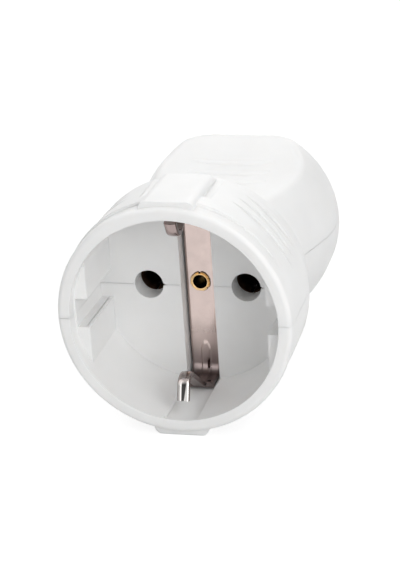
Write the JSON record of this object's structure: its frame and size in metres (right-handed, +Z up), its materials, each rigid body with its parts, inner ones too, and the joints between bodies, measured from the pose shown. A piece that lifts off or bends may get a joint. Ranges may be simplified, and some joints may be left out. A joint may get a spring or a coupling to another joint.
{
  "type": "inline socket connector",
  "caption": "Inline earthed socket connector: round plug recess with pin holes and an earth strap, grip grooves on the drum, and a flared, scooped grip that takes the cord.",
  "frame": {"origin": "on the axis of the plug recess, in the plane of the rim", "axes": "+Y along the axis from the mouth to the cord end, +Z up, +X to the right seen from the mouth; the half shells part on Z = 0"},
  "size_m": [0.044, 0.06, 0.0456],
  "materials": {
    "white_plastic": "satin white moulded thermoplastic",
    "plated_strip": "bright plated strip",
    "brass": "turned brass",
    "screw_steel": "zinc plated steel",
    "spring_steel": "oiled spring steel",
    "clamp_plastic": "matt white thermoplastic"
  },
  "bodies": {
    "root": {"upper_shell": "white_plastic", "lower_shell": "white_plastic", "earth_strap": "plated_strip", "earth_rivet": "brass", "earth_terminal": "brass", "earth_terminal_screw": "screw_steel", "line_contact": "brass", "neutral_contact": "brass", "line_spring_ring": "spring_steel", "neutral_spring_ring": "spring_steel", "line_terminal_screw": "screw_steel", "neutral_terminal_screw": "screw_steel", "cord_clamp": "clamp_plastic", "cord_clamp_screws": "screw_steel", "housing_screws": "screw_steel"}
  },
  "joints": []
}
